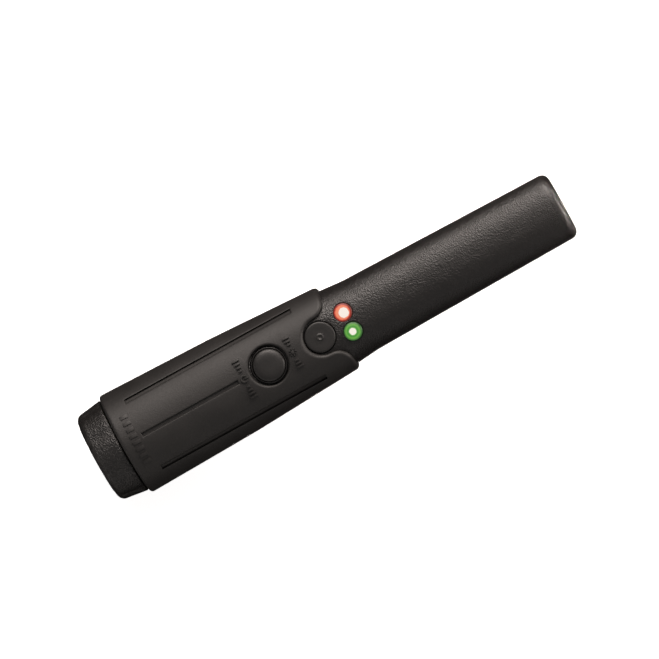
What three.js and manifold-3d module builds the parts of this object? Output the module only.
// A hand-held metal detector wand: a sensing head, a rubber-sleeved handle with two push
// buttons and two indicator lamps, a small lamp in the tip and a screw-on battery cap.
// Millimetres. +X runs along the wand to its tip, +Y across it and +Z out of its face.
// The origin is under the middle of the wand, on the surface that it lies on.

import * as THREE from 'three';
import { mergeVertices } from 'three/addons/utils/BufferGeometryUtils.js';
import Module from 'manifold-3d';

const wasm = await Module();
wasm.setup();

// ---------------------------------------------------------------- driving dimensions

// Fits
const fitGap = 0.3; // left between pieces that touch
const slideGap = 0.3; // left round a piece that moves

// Battery, a 9 V block that lies along the handle
const batteryLength = 46.4;
const batteryWidth = 26.5;
const batteryThickness = 17.5;
const batteryCorner = 2;
const studHeight = 2.1;
const studRadius = 2.9;
const studSpacing = 12.7;

// Battery neck, threaded for the cap
const neckWall = 2.1; // outside the corners of the battery pocket
const boxWall = 1.5;
const threadHeight = 1.2;
const threadPitch = 3.6;
const threadBase = 1.5;
const threadCrest = 0.7;
const neckThreadTurns = 2;
const capThreadTurns = 1.25;
const flangeThickness = 2;
const sealWire = 1.5;

// Battery cap
const capLength = 14.1;
const capWall = 3.1;
const capEndWall = 2.4;
const capTaper = 1.3;
const capCorner = 3.6;
const capCrown = 0.5;
const capLobes = 8;
const fluteDepth = 0.8;
const fluteWidth = 0.11; // radians, half of a flute
const plateThickness = 1.2;
const springWire = 0.45;
const springTurns = 2;

// Wand
const wandLength = 241;
const capGap = 0.4; // between the cap and the sleeve
const sleeveOverhang = 1; // of the sleeve's rear rim past the shells
const sleeveLength = 110.3;
const sleeveThickness = 2.3;
const sleeveRim = 1.5;
const restFlatDepth = 0.6; // sliced off the sleeve's back, so that it lies still
const capStep = 0.5; // of the cap over the shells in width
const rearFlattening = 0.8; // of the shells under the cap in height
const gripTaper = 1.3; // of each side from the rear rim to the grip's widest straight part
const shoulderHalfWidth = 18.5;
const headHalfWidth = 17.5;
const tipHalfWidth = 16.1;
const shoulderLength = 11.5;
const gripPlace = 56; // of that part's front end, from the sleeve's rear rim
const tipTop = 30;
const tipLift = 2.9; // of the tip's underside over the handle's
const tipFillet = 3.6;
const rearSquareness = 2;
const headSquareness = 2.35;
const shellWall = 2.5;

// Controls, placed back from the sleeve's front edge
const powerSetback = 34.8;
const powerRadius = 7.35;
const powerProud = 2.9;
const lightSetback = 8.6;
const lightRadius = 7.1;
const lightProud = 0.9;
const nibRadius = 1.6;
const nibHeight = 0.35;
const collarWall = 0.5;
const collarProud = 0.9;
const collarSeat = 2;
const windowGap = 0.85; // between the collar and the sleeve
const lobeRadius = 7.6;
const notchRadius = 8.4;
const buttonFlange = 1.1;
const flangeDrop = 4.3;
const flangeDepth = 1;
const bossDepth = 4;
const bossWall = 2;
const stemRadius = 2;
const stemLength = 1;
const switchSide = 6;
const switchHeight = 3.2;
const plungerRadius = 1.7;
const plungerSunk = 1.1;
const plungerBore = 2.4;

// Indicator lamps
const lampAhead = 5.9;
const lampSpacing = 9.72;
const lensRadius = 4.2;
const lensCrown = 0.9;
const lensDepth = 5;
const diodeRadius = 2.5;

// Grip details
const grooveWidth = 1.7;
const grooveDepth = 0.6;
const grooveSide = 17;
const grooveRear = 10.5; // from the sleeve's rear rim
const sideGrooveLength = 85;
const middleGrooveLength = 49.5;
const plaqueLength = 25;
const plaqueWidth = 3.8;
const plaqueHeight = 0.45;
const plaquePlace = 5; // from the sleeve's rear rim

// Circuit board and what it carries
const boardDepth = 11.2; // of its top under the face
const boardThickness = 1.6;
const boardHalfWidth = 12.3;
const boardCorner = 1.5;
const boardRearSpace = 5;
const pillarRadius = 2.6;
const pillarSide = 8;
const smallScrewRadius = 0.9;
const smallScrewHead = 2;
const chipSide = 9;
const chipThickness = 1.2;
const buzzerRadius = 7;
const buzzerHeight = 5;
const leadRadius = 0.6;

// Vibration motor
const motorRadius = 3.4;
const motorLength = 12;
const motorSetback = 16; // of its front end from the sleeve's front
const motorHeight = 10.5;
const motorShaft = 0.7;
const weightRadius = 3.6;
const weightLength = 4;

// Search coils
const formerHalfWidth = 11.5;
const formerHeight = 9;
const formerFlange = 1.4;
const coilDepth = 2.6;
const cradleWidth = 14;
const cradleThickness = 2;

// Housing screws
const screwRadius = 1.3;
const screwHead = 2.5;
const screwHeadHeight = 2.3;
const screwSeat = 6;
const screwReach = 7;
const screwPillar = 3.3;

// Tip lamp
const tipLensRadius = 2.4;
const tipLensFlange = 3.8;
const tipLensProud = 0.45;
const tipBoardRadius = 7;
const tipBoardThickness = 1.2;
const tipDiodeRadius = 1.8;

// ---------------------------------------------------------------- sizes that follow

const studReach = batteryLength + studHeight;
const pocketHalfWidth = batteryWidth / 2 + fitGap;
const pocketHalfHeight = batteryThickness / 2 + fitGap;
const pocketCorner = batteryCorner;
const neckRadius = Math.hypot(pocketHalfWidth, pocketHalfHeight) + neckWall;
const capBore = neckRadius + threadHeight + fitGap;
const capRadius = capBore + capWall;
const rearHalfWidth = capRadius - capStep;
const rearHalfHeight = capRadius - rearFlattening;
const gripHalfWidth = rearHalfWidth - gripTaper;
const bodyFloor = sleeveThickness - restFlatDepth;
const axisHeight = bodyFloor + rearHalfHeight;
const rearTop = bodyFloor + 2 * rearHalfHeight;

const capEndX = -wandLength / 2;
const capOpenX = capEndX + capLength;
const sleeveRearX = capOpenX + capGap;
const bodyRearX = sleeveRearX + sleeveOverhang;
const gripX = sleeveRearX + gripPlace;
const sleeveFrontX = sleeveRearX + sleeveLength;
const headX = sleeveFrontX + shoulderLength;
const headEndX = wandLength / 2 - tipLensProud;
const powerX = sleeveFrontX - powerSetback;
const lightX = sleeveFrontX - lightSetback;
const lampX = sleeveFrontX + lampAhead;

const neckEndX = capEndX + capEndWall + 0.9;
const plateX = neckEndX + 2.7;
const batteryRearX = plateX + plateThickness + fitGap;
const batteryFrontX = batteryRearX + batteryLength;
const contactX = batteryRearX + studReach + fitGap;
const contactThickness = 1;
const contactBoardX = contactX + contactThickness + fitGap;
const boxEndX = contactBoardX + boardThickness + 1.5;
const boardRearX = boxEndX + boardRearSpace;
const boardFrontX = lampX + lensRadius + 1.1;
const boardTop = -boardDepth;
const boardBottom = boardTop - boardThickness;
const partTop = boardTop + fitGap; // where pieces on the board start
const screwSide = boardHalfWidth + fitGap + screwPillar + 0.4;
const handleScrewX = boxEndX + 8;
const headScrewX = headX + 4.7;
const tipScrewX = headEndX - 16;
const formerRearX = headScrewX + 6.5;
const formerFrontX = tipScrewX - 6.5;

// ---------------------------------------------------------------- solids

// Turns a three.js geometry into a solid for joining and cutting.
function solid(geometry, matrix) {
  const bare = geometry.clone();
  bare.deleteAttribute('normal');
  bare.deleteAttribute('uv');
  if (matrix) bare.applyMatrix4(matrix);
  const merged = mergeVertices(bare, 1e-5);
  const triVerts = new Uint32Array(merged.index.array);
  const vertProperties = new Float32Array(merged.attributes.position.array);
  const made = new wasm.Manifold(new wasm.Mesh({ numProp: 3, vertProperties, triVerts }));
  if (made.volume() > 0) return made;
  triVerts.reverse();
  return new wasm.Manifold(new wasm.Mesh({ numProp: 3, vertProperties, triVerts }));
}

// Turns a solid back into a three.js geometry.
function geometryOf(made) {
  const mesh = made.getMesh();
  const geometry = new THREE.BufferGeometry();
  geometry.setAttribute('position', new THREE.BufferAttribute(mesh.vertProperties, 3));
  geometry.setIndex(new THREE.BufferAttribute(mesh.triVerts, 1));
  geometry.computeVertexNormals();
  return geometry;
}

function joined(...solids) {
  return solids.reduce((whole, next) => whole.add(next));
}

function cut(whole, ...tools) {
  return tools.reduce((left, tool) => left.subtract(tool), whole);
}

// A solid turned round +Z from a closed list of [radius, height] points.
function turned(points, segments = 24) {
  const profile = points.map(([radius, height]) => new THREE.Vector2(radius, height));
  const geometry = new THREE.LatheGeometry(profile, segments);
  return solid(geometry.rotateX(Math.PI / 2));
}

// A cylinder round +Z between two heights, or a tube if it has a bore.
function post(radius, low, high, bore = 0, segments = 24) {
  const inside = bore > 0 ? bore : 0;
  const points = [[inside, low], [radius, low], [radius, high], [inside, high]];
  if (inside > 0) points.push([inside, low]);
  return turned(points, segments);
}

function boxBetween(low, high) {
  const size = new THREE.Vector3().subVectors(high, low);
  const middle = new THREE.Vector3().addVectors(high, low).multiplyScalar(0.5);
  const geometry = new THREE.BoxGeometry(size.x, size.y, size.z);
  return solid(geometry.translate(middle.x, middle.y, middle.z));
}

function box(x0, x1, y0, y1, z0, z1) {
  return boxBetween(new THREE.Vector3(x0, y0, z0), new THREE.Vector3(x1, y1, z1));
}

function roundedRectangle(halfLength, halfWidth, corner) {
  const shape = new THREE.Shape();
  shape.absarc(halfLength - corner, halfWidth - corner, corner, 0, Math.PI / 2);
  shape.absarc(corner - halfLength, halfWidth - corner, corner, Math.PI / 2, Math.PI);
  shape.absarc(corner - halfLength, corner - halfWidth, corner, Math.PI, 1.5 * Math.PI);
  shape.absarc(halfLength - corner, corner - halfWidth, corner, 1.5 * Math.PI, 2 * Math.PI);
  return shape;
}

// A flat plate of any outline, between two heights.
function plate(shape, low, high, curveSegments = 2) {
  const settings = { depth: high - low, bevelEnabled: false, curveSegments };
  return solid(new THREE.ExtrudeGeometry(shape, settings).translate(0, 0, low));
}

// A wire or lead along a smooth curve, with four sides for each curve segment of its
// round section.
function wire(points, radius, steps, curveSegments = 3) {
  const path = new THREE.CatmullRomCurve3(points.map((p) => new THREE.Vector3(...p)));
  const section = new THREE.Shape().absarc(0, 0, radius, 0, 2 * Math.PI);
  const settings = { steps, extrudePath: path, curveSegments };
  return solid(new THREE.ExtrudeGeometry(section, settings));
}

// Turns something made round +Z so that its axis runs along +X.
const alongX = new THREE.Matrix4().set(0, 0, 1, 0, 1, 0, 0, 0, 0, 1, 0, 0, 0, 0, 0, 1);

// ---------------------------------------------------------------- the wand's section

// Value at x on the straight pieces between [x, value] stations.
function along(x, stations) {
  if (x <= stations[0][0]) return stations[0][1];
  for (let i = 1; i < stations.length; i += 1) {
    const [x0, v0] = stations[i - 1];
    const [x1, v1] = stations[i];
    if (x <= x1) return v0 + ((v1 - v0) * (x - x0)) / (x1 - x0);
  }
  return stations[stations.length - 1][1];
}

const widthStations = [
  [bodyRearX, rearHalfWidth],
  [gripX, gripHalfWidth],
  [sleeveFrontX, shoulderHalfWidth],
  [headX, headHalfWidth],
  [headEndX, tipHalfWidth],
];
const topStations = [[bodyRearX, rearTop], [headEndX, tipTop]];
const floorStations = [[headX, bodyFloor], [headEndX, bodyFloor + tipLift]];
const squareStations = [[bodyRearX, rearSquareness], [sleeveFrontX, headSquareness]];

// A point on the wand's outline at x, inset from the shells' outer face.
function outlinePoint(x, angle, inset, scale) {
  const halfWidth = along(x, widthStations) - inset;
  const top = along(x, topStations) - inset;
  const floor = along(x, floorStations) + inset;
  const power = 2 / along(x, squareStations);
  const across = Math.sign(Math.cos(angle)) * Math.abs(Math.cos(angle)) ** power;
  const up = Math.sign(Math.sin(angle)) * Math.abs(Math.sin(angle)) ** power;
  const halfHeight = (top - floor) / 2;
  return [scale * halfWidth * across, (top + floor) / 2 + scale * halfHeight * up];
}

// A closed solid that follows the wand's outline between two stations. A rounded end
// draws the outline in over the radius given for it.
function wandSolid(inset, fromX, toX, rearRound = 0, frontRound = 0, around = 48) {
  const roundSteps = 4;
  const rings = [];
  for (let i = 0; rearRound > 0 && i < roundSteps; i += 1) {
    const angle = (i / roundSteps) * (Math.PI / 2);
    rings.push([fromX + rearRound * (1 - Math.cos(angle)), rearRound * (1 - Math.sin(angle))]);
  }
  const inner = [fromX + rearRound, gripX, sleeveFrontX, headX, toX - frontRound];
  const fits = (x) => x >= fromX + rearRound && x <= toX - frontRound;
  rings.push(...inner.filter(fits).sort((a, b) => a - b).map((x) => [x, 0]));
  for (let i = 1; frontRound > 0 && i <= roundSteps; i += 1) {
    const angle = (i / roundSteps) * (Math.PI / 2);
    rings.push([toX - frontRound + frontRound * Math.sin(angle), frontRound * (1 - Math.cos(angle))]);
  }
  const scaleAt = ([x, drawnIn]) => 1 - drawnIn / (along(x, widthStations) - inset);
  const profile = rings.map((ring) => new THREE.Vector2(scaleAt(ring), ring[0]));
  profile.unshift(new THREE.Vector2(0, fromX));
  profile.push(new THREE.Vector2(0, toX));
  const geometry = new THREE.LatheGeometry(profile, around);
  const position = geometry.attributes.position;
  for (let i = 0; i < position.count; i += 1) {
    const x = position.getY(i);
    const scale = Math.hypot(position.getX(i), position.getZ(i));
    const angle = Math.atan2(position.getX(i), position.getZ(i));
    const [y, z] = outlinePoint(x, angle, inset, scale);
    position.setXYZ(i, x, y, z);
  }
  return solid(geometry);
}

// ---------------------------------------------------------------- the three inner frames

// The face frame lies on the crest of the face, with +Z square to it.
const faceSlope = Math.atan2(rearTop - tipTop, headEndX - bodyRearX);
const faceGroup = new THREE.Group();
faceGroup.position.set(0, 0, along(0, topStations));
faceGroup.rotation.y = faceSlope;
faceGroup.updateMatrix();

// The core frame lies on the joint between the shells.
const tipMiddle = (tipTop + bodyFloor + tipLift) / 2;
const coreSlope = Math.atan2(axisHeight - tipMiddle, headEndX - bodyRearX);
const coreGroup = new THREE.Group();
const coreHeight = axisHeight + Math.tan(coreSlope) * bodyRearX;
coreGroup.position.set(0, 0, coreHeight);
coreGroup.rotation.y = coreSlope;
coreGroup.updateMatrix();

// The battery frame lies on the axis of the neck and the cap.
const axisGroup = new THREE.Group();
axisGroup.position.set(0, 0, axisHeight);
axisGroup.updateMatrix();

function placed(made, group) {
  return made.transform(group.matrix.elements);
}

function moved(made, x, y, z) {
  return made.translate([x, y, z]);
}

// ---------------------------------------------------------------- materials

function finish(color, roughness, metalness = 0) {
  return { color, roughness, metalness };
}

const shellPlastic = finish(0x2b2927, 0.62);
const gripRubber = finish(0x302d2b, 0.72);
const capRubber = finish(0x242220, 0.68);
const buttonRubber = finish(0x282624, 0.55);
const innerPlastic = finish(0x3a3a3c, 0.6);
const redLens = finish(0xff5a45, 0.25);
const greenLens = finish(0x2fd84a, 0.25);
const clearLens = finish(0xe8eef2, 0.15);
const sealRubber = finish(0x1c1c1c, 0.7);
const steel = finish(0xb9bcc0, 0.35, 1);
const brass = finish(0xc9a24a, 0.35, 1);
const copper = finish(0xb66a3c, 0.45, 1);
const boardGreen = finish(0x1f5a34, 0.55);
const batteryBlue = finish(0x39506e, 0.45);
const switchBlack = finish(0x202124, 0.5);
const redLead = finish(0xa02a22, 0.55);
const blackLead = finish(0x1d1d1f, 0.55);
const whiteLead = finish(0xd8d5cc, 0.55);

const wand = new THREE.Group();
wand.add(faceGroup, coreGroup, axisGroup);

function piece(name, made, look, group = wand) {
  const mesh = new THREE.Mesh(geometryOf(made), new THREE.MeshStandardMaterial(look));
  mesh.name = name;
  group.add(mesh);
}

// ---------------------------------------------------------------- threads

// A ridge wound round +X. It is extruded straight, then wrapped into a helix, and its
// ends run out. Height is negative for a ridge that points inward.
function threadRidge(radius, height, startX, turns) {
  const stepsPerTurn = 24;
  const embed = Math.sign(height) * 0.4;
  const ridge = new THREE.Shape();
  ridge.moveTo(-threadBase / 2, -embed);
  ridge.lineTo(threadBase / 2, -embed);
  ridge.lineTo(threadCrest / 2, height);
  ridge.lineTo(-threadCrest / 2, height);
  const total = turns * 2 * Math.PI;
  const settings = { depth: total, steps: turns * stepsPerTurn, bevelEnabled: false };
  const geometry = new THREE.ExtrudeGeometry(ridge, settings);
  const position = geometry.attributes.position;
  const runOut = Math.PI / 5;
  for (let i = 0; i < position.count; i += 1) {
    const angle = position.getZ(i);
    const fade = Math.min(1, (angle + 0.1) / runOut, (total - angle + 0.1) / runOut);
    const up = position.getY(i);
    const reach = radius + (up === height ? height * fade : up);
    const x = startX + position.getX(i) + (threadPitch * angle) / (2 * Math.PI);
    position.setXYZ(i, x, reach * Math.cos(angle), reach * Math.sin(angle));
  }
  return solid(geometry);
}

// ---------------------------------------------------------------- battery end

const neckThreadX = neckEndX + threadBase / 2 + 0.2;
const capThreadX = neckThreadX + 0.7 * threadPitch * neckThreadTurns - threadPitch;
const sealX = neckThreadX + neckThreadTurns * threadPitch + threadBase / 2 + sealWire / 2 + 0.4;
const sealFloor = neckRadius - 0.6;

function ringX(radius, fromX, toX, bore, segments = 40) {
  return post(radius, fromX, toX, bore, segments).transform(alongX.elements);
}

function acrossX(shape, fromX, toX) {
  return plate(shape, fromX, toX).transform(alongX.elements);
}

function batteryNeck() {
  const flangeX = bodyRearX + shellWall + fitGap;
  const roofHeight = along(flangeX + flangeThickness, topStations) - shellWall;
  const flangeRadius = roofHeight - axisHeight - fitGap;
  const boxCorner = pocketCorner + boxWall;
  const boxShape = roundedRectangle(pocketHalfWidth + boxWall, pocketHalfHeight + boxWall, boxCorner);
  const pocket = roundedRectangle(pocketHalfWidth, pocketHalfHeight, pocketCorner);
  const body = joined(
    ringX(neckRadius, neckEndX, flangeX + flangeThickness, 0),
    ringX(flangeRadius, flangeX, flangeX + flangeThickness, 0),
    acrossX(boxShape, flangeX, boxEndX),
    threadRidge(neckRadius, threadHeight, neckThreadX, neckThreadTurns),
  );
  const sealHalf = sealWire / 2 + fitGap;
  const groove = ringX(neckRadius + 2, sealX - sealHalf, sealX + sealHalf, sealFloor);
  return cut(body, groove, acrossX(pocket, neckEndX - 1, boxEndX + 1));
}

function batteryCap() {
  const endRadius = capRadius - capTaper;
  const profile = [[0, capEndX]];
  const cornerSteps = 4;
  for (let i = 0; i <= cornerSteps; i += 1) {
    const angle = (i / cornerSteps) * (Math.PI / 2);
    const x = capEndX + capCrown + capCorner * (1 - Math.cos(angle));
    profile.push([endRadius - capCorner * (1 - Math.sin(angle)), x]);
  }
  profile.push([capRadius, capOpenX - 0.6]);
  profile.push([capRadius - 0.6, capOpenX]);
  profile.push([capBore, capOpenX]);
  profile.push([capBore, capEndX + capEndWall]);
  profile.push([0, capEndX + capEndWall]);
  const points = profile.map(([radius, x]) => new THREE.Vector2(radius, x));
  const geometry = new THREE.LatheGeometry(points, capLobes * 8);
  const position = geometry.attributes.position;
  const lobe = (2 * Math.PI) / capLobes;
  for (let i = 0; i < position.count; i += 1) {
    const radius = Math.hypot(position.getX(i), position.getZ(i));
    const angle = Math.atan2(position.getX(i), position.getZ(i));
    const fromFlute = Math.abs(angle / lobe - Math.round(angle / lobe)) * lobe;
    const depth = fluteDepth * Math.exp(-((fromFlute / fluteWidth) ** 2));
    const share = radius > capBore + 0.01 || position.getY(i) < capEndX + capEndWall - 0.01;
    const reach = share && radius > 1 ? radius - depth : radius;
    position.setXYZ(i, position.getY(i), reach * Math.cos(angle), reach * Math.sin(angle));
  }
  const thread = threadRidge(capBore, -threadHeight + 0.2, capThreadX, capThreadTurns);
  // The flutes stand either side of the crest, a half lobe round.
  return solid(geometry, new THREE.Matrix4().makeRotationX(lobe / 2)).add(thread);
}

function capSpring() {
  const outer = 8;
  const inner = 4.5;
  const farX = capEndX + capEndWall + fitGap + springWire;
  const nearX = plateX - fitGap - springWire;
  const perTurn = 12;
  const points = [];
  for (let i = 0; i <= springTurns * perTurn; i += 1) {
    const share = i / (springTurns * perTurn);
    const angle = share * springTurns * 2 * Math.PI;
    const radius = outer + (inner - outer) * share;
    const x = farX + (nearX - farX) * share;
    points.push([x, radius * Math.cos(angle), radius * Math.sin(angle)]);
  }
  return wire(points, springWire, springTurns * perTurn, 2);
}

piece('battery_neck', batteryNeck(), innerPlastic, axisGroup);
piece('battery_cap', batteryCap(), capRubber, axisGroup);
const sealRing = new THREE.TorusGeometry(sealFloor + fitGap / 2 + sealWire / 2, sealWire / 2, 6, 32);
piece('cap_seal', moved(solid(sealRing).transform(alongX.elements), sealX, 0, 0), sealRubber, axisGroup);
piece('cap_spring', capSpring(), steel, axisGroup);
const plateShape = roundedRectangle(pocketHalfWidth - 0.6, pocketHalfHeight - 0.6, batteryCorner);
piece('pressure_plate', acrossX(plateShape, plateX, plateX + plateThickness), innerPlastic, axisGroup);

const batteryShape = roundedRectangle(batteryWidth / 2, batteryThickness / 2, batteryCorner);
piece('battery', acrossX(batteryShape, batteryRearX, batteryFrontX), batteryBlue, axisGroup);
const contactBoardShape = roundedRectangle(batteryWidth / 2, batteryThickness / 2, batteryCorner);
const contactBoard = acrossX(contactBoardShape, contactBoardX, contactBoardX + boardThickness);
piece('contact_board', contactBoard, boardGreen, axisGroup);
for (const [sign, side] of [['positive', 1], ['negative', -1]]) {
  const y = (side * studSpacing) / 2;
  const studRear = batteryFrontX + fitGap;
  const stud = ringX(studRadius, studRear, batteryFrontX + studHeight, 0, 16);
  piece(`battery_stud_${sign}`, moved(stud, 0, y, 0), steel, axisGroup);
  const contact = ringX(studRadius + 0.6, contactX, contactX + contactThickness, 1, 16);
  piece(`contact_${sign}`, moved(contact, 0, y, 0), brass, axisGroup);
}

// ---------------------------------------------------------------- shells

const buttons = [
  { name: 'power', x: powerX, radius: powerRadius, proud: powerProud },
  { name: 'light', x: lightX, radius: lightRadius, proud: lightProud },
];
const lamps = [
  { name: 'red', side: 1, look: redLens },
  { name: 'green', side: -1, look: greenLens },
];
const housingScrews = [
  [handleScrewX, screwSide],
  [handleScrewX, -screwSide],
  [headScrewX, 0],
  [tipScrewX, 0],
];
const boardPillars = [
  [(powerX + lightX) / 2, pillarSide],
  [(powerX + lightX) / 2, -pillarSide],
];
const cradles = [formerRearX + 12, formerFrontX - 12];
const farOut = 60; // past every face of the wand
const collarRadius = powerRadius + slideGap + collarWall;
const windowRadius = collarRadius + windowGap;

function halfSpace(low, high) {
  return placed(box(-2 * wandLength, 2 * wandLength, -farOut, farOut, low, high), coreGroup);
}

function shellBlank() {
  const outer = wandSolid(0, bodyRearX, headEndX, 0, tipFillet);
  const inner = wandSolid(shellWall, bodyRearX + shellWall, headEndX - shellWall, 0, tipFillet / 2);
  const neckHole = placed(ringX(neckRadius + fitGap, bodyRearX - 1, bodyRearX + shellWall + 1, 0), axisGroup);
  const lensHole = placed(ringX(tipLensRadius + fitGap, headEndX - 8, headEndX + 4, 0, 24), coreGroup);
  return cut(outer, inner, neckHole, lensHole);
}

function insideWand(made) {
  return made.intersect(wandSolid(shellWall / 2, bodyRearX + shellWall, headEndX - shellWall));
}

function frontShell() {
  const blank = shellBlank().intersect(halfSpace(fitGap / 2, farOut));
  const bosses = buttons.map(({ x, radius }) => {
    const boss = moved(post(radius + slideGap + bossWall, -bossDepth, 0), x, 0, 0);
    return placed(boss, faceGroup);
  });
  const pillars = boardPillars.map(([x, y]) => {
    const pillar = moved(post(pillarRadius, partTop, 0, 0, 16), x, y, 0);
    return placed(pillar, faceGroup);
  });
  const screwPillars = housingScrews.map(([x, y]) => {
    const pillar = moved(post(screwPillar, fitGap / 2, farOut, 0, 20), x, y, 0);
    return placed(pillar, coreGroup);
  });
  const ribs = cradles.map((x) => {
    const low = formerHeight / 2 + fitGap;
    const rib = box(x, x + cradleThickness, -cradleWidth / 2, cradleWidth / 2, low, farOut);
    return placed(rib, coreGroup);
  });
  const added = [...bosses, ...pillars, ...screwPillars, ...ribs].map(insideWand);
  const holes = [];
  for (const { x, radius } of buttons) {
    const way = post(radius + slideGap, -bossDepth - 1, 3);
    const flangeSpace = post(radius + buttonFlange + slideGap, boardTop, -bossDepth);
    holes.push(placed(moved(way.add(flangeSpace), x, 0, 0), faceGroup));
  }
  const collarHole = post(collarRadius + fitGap, -collarSeat, 3);
  holes.push(placed(moved(collarHole, powerX, 0, 0), faceGroup));
  for (const { side } of lamps) {
    const hole = post(lensRadius + fitGap, -lensDepth, 3);
    holes.push(placed(moved(hole, lampX, (side * lampSpacing) / 2, 0), faceGroup));
  }
  for (const [x, y] of boardPillars) {
    const hole = post(smallScrewRadius + fitGap, partTop - 1, -bossDepth, 0, 12);
    holes.push(placed(moved(hole, x, y, 0), faceGroup));
  }
  for (const [x, y] of housingScrews) {
    const hole = post(screwRadius + fitGap, -1, screwReach + 1, 0, 16);
    holes.push(placed(moved(hole, x, y, 0), coreGroup));
  }
  return cut(joined(blank, ...added), ...holes);
}

function rearShell() {
  const blank = shellBlank().intersect(halfSpace(-farOut, -fitGap / 2));
  const screwPillars = housingScrews.map(([x, y]) => {
    const pillar = moved(post(screwHead + 2, -farOut, -fitGap / 2, 0, 24), x, y, 0);
    return placed(pillar, coreGroup);
  });
  const ribs = cradles.map((x) => {
    const high = -formerHeight / 2 - fitGap;
    const rib = box(x, x + cradleThickness, -cradleWidth / 2, cradleWidth / 2, -farOut, high);
    return placed(rib, coreGroup);
  });
  const saddles = [motorRearX + 1, motorRearX + motorLength - 3].map((x) => {
    return box(x, x + cradleThickness, -motorRadius - 2, motorRadius + 2, bodyFloor, motorHeight);
  });
  const added = [...screwPillars, ...ribs, ...saddles].map(insideWand);
  const motorBed = ringX(motorRadius + fitGap, motorRearX - 1, motorRearX + motorLength + 1, 0, 24);
  const holes = [moved(motorBed, 0, 0, motorHeight)];
  for (const [x, y] of housingScrews) {
    const well = post(screwHead + 0.4, -farOut, -screwSeat, 0, 24);
    const hole = post(screwRadius + fitGap, -farOut, 1, 0, 16);
    holes.push(placed(moved(well.add(hole), x, y, 0), coreGroup));
  }
  return cut(joined(blank, ...added), ...holes);
}

const motorRearX = sleeveFrontX - motorSetback - motorLength;

piece('front_shell', frontShell(), shellPlastic);
piece('rear_shell', rearShell(), shellPlastic);

housingScrews.forEach(([x, y], i) => {
  const headTop = -screwSeat - fitGap;
  const head = post(screwHead, headTop - screwHeadHeight, headTop, 0, 20);
  const slot = 0.5;
  const slotDepth = headTop - screwHeadHeight + 1.1;
  const slotLow = headTop - screwHeadHeight - 1;
  const across = box(-1.7, 1.7, -slot / 2, slot / 2, slotLow, slotDepth);
  const upright = box(-slot / 2, slot / 2, -1.7, 1.7, slotLow, slotDepth);
  const shank = post(screwRadius, headTop - 0.5, screwReach, 0, 12);
  const screw = cut(head.add(shank), across, upright);
  piece(`housing_screw_${i + 1}`, moved(screw, x, y, 0), steel, coreGroup);
});

// ---------------------------------------------------------------- grip sleeve

// The outline cut out of the sleeve's front edge round the light button: two rounded
// lobes run into a round notch.
function notchShape() {
  const lobeY = notchRadius + lobeRadius;
  const centreX = sleeveFrontX - lobeRadius;
  const shape = new THREE.Shape();
  shape.moveTo(sleeveFrontX + 5, lobeY);
  shape.lineTo(sleeveFrontX, lobeY);
  shape.absarc(centreX, lobeY, lobeRadius, 0, -Math.PI / 2, true);
  shape.absarc(centreX, 0, notchRadius, Math.PI / 2, 1.5 * Math.PI, false);
  shape.absarc(centreX, -lobeY, lobeRadius, Math.PI / 2, 0, true);
  shape.lineTo(sleeveFrontX + 5, -lobeY);
  return shape;
}

function gripSleeve() {
  const outer = wandSolid(-sleeveThickness, sleeveRearX, sleeveFrontX, sleeveRim, sleeveRim);
  const inner = wandSolid(-fitGap, sleeveRearX - 2, sleeveFrontX + 2);
  const notch = placed(plate(notchShape(), -8, 8, 5), faceGroup);
  const window = placed(moved(post(windowRadius, -8, 8), powerX, 0, 0), faceGroup);
  const grooveSpace = wandSolid(grooveDepth - sleeveThickness, sleeveRearX, sleeveFrontX);
  const grooves = [-grooveSide, 0, grooveSide].map((y) => {
    const length = y === 0 ? middleGrooveLength : sideGrooveLength;
    const x = sleeveRearX + grooveRear;
    return box(x, x + length, y - grooveWidth / 2, y + grooveWidth / 2, axisHeight, 2 * farOut);
  });
  const plaqueSkin = wandSolid(-sleeveThickness - plaqueHeight, sleeveRearX, sleeveFrontX);
  const plaqueX = sleeveRearX + plaquePlace;
  const plaqueBlock = box(plaqueX, plaqueX + plaqueWidth, -plaqueLength / 2, plaqueLength / 2,
    axisHeight + rearHalfHeight / 2, 2 * farOut);
  const plaque = plaqueBlock.intersect(plaqueSkin);
  const underFlat = box(-wandLength, wandLength, -farOut, farOut, -farOut, 0);
  return cut(outer.add(plaque), inner, notch, window, joined(...grooves).subtract(grooveSpace), underFlat);
}

piece('grip_sleeve', gripSleeve(), gripRubber);

// ---------------------------------------------------------------- buttons and switches

// The caps are turned from half outlines, in from the edge to the middle.
const capOutlines = {
  power: [
    [powerRadius, powerProud - 1.3],
    [powerRadius - 0.35, powerProud - 0.65],
    [powerRadius - 1.6, powerProud - 0.25],
    [powerRadius / 2, powerProud - 0.05],
    [0, powerProud],
  ],
  light: [
    [lightRadius, lightProud - 0.45],
    [lightRadius - 0.4, lightProud],
    [lightRadius - 1.2, lightProud - 0.15],
    [nibRadius, lightProud - 0.15],
    [nibRadius - 0.25, lightProud - 0.15 + nibHeight],
    [nibRadius / 2, lightProud - 0.15 + nibHeight],
    [0, lightProud - 0.15],
  ],
};

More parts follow.
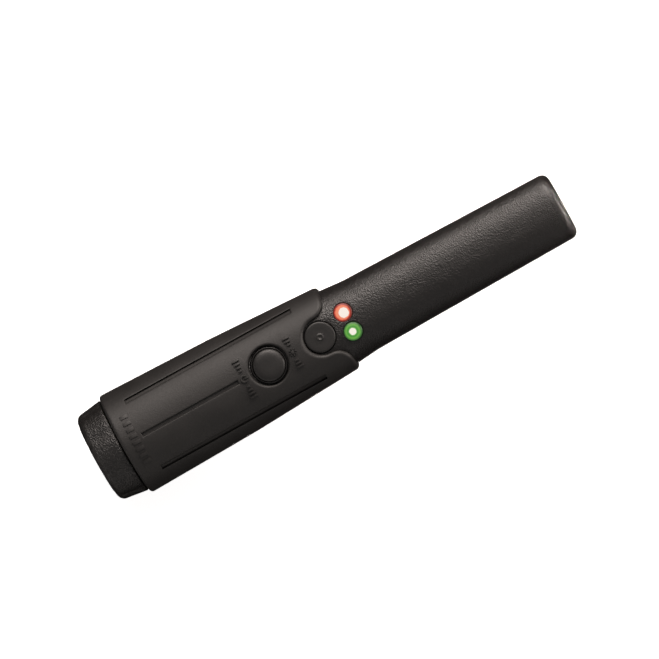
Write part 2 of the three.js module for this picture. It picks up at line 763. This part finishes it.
for (const { name, x, radius } of buttons) {
  const flangeLow = -flangeDrop - flangeDepth;
  const stemEnd = flangeLow - stemLength;
  const cap = turned([
    [0, stemEnd],
    [stemRadius, stemEnd],
    [stemRadius, flangeLow],
    [radius + buttonFlange, flangeLow],
    [radius + buttonFlange, -flangeDrop],
    [radius, -flangeDrop],
    ...capOutlines[name],
  ], 28);
  piece(`${name}_button`, moved(cap, x, 0, 0), buttonRubber, faceGroup);
  const switchTop = partTop + switchHeight;
  const half = switchSide / 2;
  const base = box(-half, half, -half, half, partTop, switchTop);
  const bore = post(plungerRadius + slideGap, switchTop - plungerBore, switchTop + 1, 0, 20);
  piece(`${name}_switch`, moved(cut(base, bore), x, 0, 0), switchBlack, faceGroup);
  const plunger = post(plungerRadius, switchTop - plungerSunk, stemEnd - fitGap, 0, 16);
  piece(`${name}_plunger`, moved(plunger, x, 0, 0), redLead, faceGroup);
}

const collar = post(collarRadius, fitGap - collarSeat, collarProud, powerRadius + slideGap, 28);
piece('power_collar', moved(collar, powerX, 0, 0), shellPlastic, faceGroup);

// ---------------------------------------------------------------- indicator lamps

for (const { name, side, look } of lamps) {
  const y = (side * lampSpacing) / 2;
  const lens = turned([
    [0, -lensDepth],
    [lensRadius, -lensDepth],
    [lensRadius, 0],
    [lensRadius * 0.86, lensCrown * 0.55],
    [lensRadius * 0.5, lensCrown * 0.9],
    [0, lensCrown],
  ]);
  piece(`${name}_lens`, moved(lens, lampX, y, 0), look, faceGroup);
  const diodeTop = -lensDepth - fitGap;
  const diode = turned([
    [0, partTop],
    [diodeRadius, partTop],
    [diodeRadius, diodeTop - 1.6],
    [diodeRadius * 0.7, diodeTop - 0.5],
    [0, diodeTop],
  ], 16);
  piece(`${name}_diode`, moved(diode, lampX, y, 0), look, faceGroup);
}

// ---------------------------------------------------------------- circuit board

function mainBoard() {
  const halfLength = (boardFrontX - boardRearX) / 2;
  const outline = roundedRectangle(halfLength, boardHalfWidth, boardCorner);
  const slab = moved(plate(outline, boardBottom, boardTop), boardRearX + halfLength, 0, 0);
  const holes = boardPillars.map(([x, y]) => {
    return moved(post(smallScrewRadius + fitGap, boardBottom - 1, boardTop + 1, 0, 12), x, y, 0);
  });
  return cut(slab, ...holes);
}

piece('main_board', mainBoard(), boardGreen, faceGroup);
const underBoard = boardBottom - fitGap;

boardPillars.forEach(([x, y], i) => {
  const head = post(smallScrewHead, underBoard - 1.2, underBoard, 0, 16);
  const shank = post(smallScrewRadius, underBoard - 0.5, -bossDepth - 1.5, 0, 10);
  piece(`board_screw_${i + 1}`, moved(head.add(shank), x, y, 0), steel, faceGroup);
});

const chipHalf = chipSide / 2;
const chip = box(-chipHalf, chipHalf, -chipHalf, chipHalf, underBoard - chipThickness, underBoard);
piece('controller_chip', moved(chip, (powerX + lightX) / 2, 0, 0), switchBlack, faceGroup);
const buzzer = post(buzzerRadius, underBoard - buzzerHeight, underBoard, 0, 28);
const buzzerPort = post(1.2, underBoard - buzzerHeight - 1, underBoard - 1, 0, 12);
piece('buzzer', moved(cut(buzzer, buzzerPort), lightX, 0, 0), switchBlack, faceGroup);

// ---------------------------------------------------------------- vibration motor

const motorFrontX = motorRearX + motorLength;
const shaftBore = ringX(motorShaft + slideGap, motorFrontX - 4, motorFrontX + 1, 0, 12);
const motorCan = cut(ringX(motorRadius, motorRearX, motorFrontX, 0, 24), shaftBore);
piece('vibration_motor', moved(motorCan, 0, 0, motorHeight), steel);
const weightX = motorFrontX + slideGap;
const wheel = ringX(weightRadius, weightX, weightX + weightLength, 0, 24);
const upperHalf = box(weightX - 1, weightX + weightLength + 1, -farOut, farOut, 0.9, farOut);
const shaft = ringX(motorShaft, motorFrontX - 3, weightX + weightLength, 0, 12);
piece('motor_weight', moved(cut(wheel, upperHalf).add(shaft), 0, 0, motorHeight), steel);

// ---------------------------------------------------------------- search coils

const formerHalfLength = (formerFrontX - formerRearX) / 2;
const formerMiddleX = (formerFrontX + formerRearX) / 2;
const coilHeight = (formerHeight - 3 * formerFlange) / 2;

function stadium(inset) {
  const radius = formerHalfWidth - inset;
  return roundedRectangle(formerHalfLength - inset, radius, radius);
}

function coilRing(low, high, outset, inset) {
  return cut(plate(stadium(outset), low, high, 3), plate(stadium(inset), low - 1, high + 1, 3));
}

const coilLevels = [
  ['transmit_coil', formerFlange / 2],
  ['receive_coil', -formerFlange / 2 - coilHeight],
];
const grooveCuts = coilLevels.map(([, low]) => coilRing(low, low + coilHeight, -1, coilDepth));
const former = cut(plate(stadium(0), -formerHeight / 2, formerHeight / 2, 3), ...grooveCuts);
piece('coil_former', moved(former, formerMiddleX, 0, 0), innerPlastic, coreGroup);
for (const [name, low] of coilLevels) {
  const winding = coilRing(low + fitGap, low + coilHeight - fitGap, 0.4, coilDepth - fitGap);
  piece(name, moved(winding, formerMiddleX, 0, 0), copper, coreGroup);
}

// ---------------------------------------------------------------- tip lamp

const tipFaceX = headEndX / Math.cos(coreSlope);
const tipWallX = tipFaceX - shellWall;
const tipFlangeFront = tipWallX - fitGap - 0.2;
const tipFlangeRear = tipFlangeFront - 1.3;
const tipLens = turned([
  [0, tipFlangeRear],
  [tipLensFlange, tipFlangeRear],
  [tipLensFlange, tipFlangeFront],
  [tipLensRadius, tipFlangeFront],
  [tipLensRadius, tipFaceX - 0.1],
  [tipLensRadius * 0.6, tipFaceX + tipLensProud * 0.7],
  [0, tipFaceX + tipLensProud],
], 24);
piece('tip_lens', tipLens.transform(alongX.elements), clearLens, coreGroup);
const tipBoardX = tipFlangeRear - fitGap - 2.6 - fitGap - tipBoardThickness;
const tipDiodeX = tipBoardX + tipBoardThickness + fitGap;
const tipDiode = ringX(tipDiodeRadius, tipDiodeX, tipFlangeRear - fitGap, 0, 16);
piece('tip_diode', tipDiode, clearLens, coreGroup);
piece('tip_board', ringX(tipBoardRadius, tipBoardX, tipBoardX + tipBoardThickness, 0, 24), boardGreen, coreGroup);

// ---------------------------------------------------------------- leads

// A place in the face frame, as a place in the wand's own frame.
function onFace(x, y, height) {
  return new THREE.Vector3(x, y, height).applyMatrix4(faceGroup.matrix).toArray();
}

function inCore(x, y, height) {
  return new THREE.Vector3(x, y, height).applyMatrix4(coreGroup.matrix).toArray();
}

const leadGap = leadRadius + fitGap;
for (const [name, side, look] of [['red', 1, redLead], ['black', -1, blackLead]]) {
  const startX = contactBoardX + boardThickness + fitGap;
  const route = [
    [startX, side * 5, axisHeight],
    [boxEndX + 1, side * 5, axisHeight],
    onFace(boardRearX - 0.5, side * 6, boardBottom - 2.5),
    onFace(boardRearX + 3, side * 7, boardBottom - leadGap),
  ];
  piece(`battery_lead_${name}`, wire(route, leadRadius, 10), look);
}
for (const [name, side, level] of [['transmit_lead', 1, 1], ['receive_lead', -1, -1]]) {
  const route = [
    onFace(boardFrontX - 4, side * 8, boardBottom - leadGap),
    onFace(boardFrontX + 1, side * 8, boardBottom - leadGap - 0.6),
    inCore(headScrewX, side * 7.5, level * 2 + 2.5),
    inCore(formerRearX - 1.2, side * 3.5, level * 2),
  ];
  piece(name, wire(route, leadRadius, 10), whiteLead);
}
for (const [name, side] of [['tip_lead_red', 1], ['tip_lead_black', -1]]) {
  const low = -formerHeight / 2 - leadGap - 0.8;
  const route = [
    onFace(boardFrontX - 9, side * 9.5, boardBottom - leadGap),
    onFace(boardFrontX - 4, side * 9.5, boardBottom - leadGap - 1),
    inCore(headScrewX + 1, side * 9, low * 0.6),
    inCore(formerRearX + 8, side * 8.6, low),
    inCore(formerFrontX - 8, side * 8.6, low),
    inCore(tipScrewX + 2, side * 7, low * 0.8),
    inCore(tipBoardX - leadRadius, side * 4, -3),
  ];
  piece(name, wire(route, leadRadius, 30), side > 0 ? redLead : blackLead);
}

export default wand;
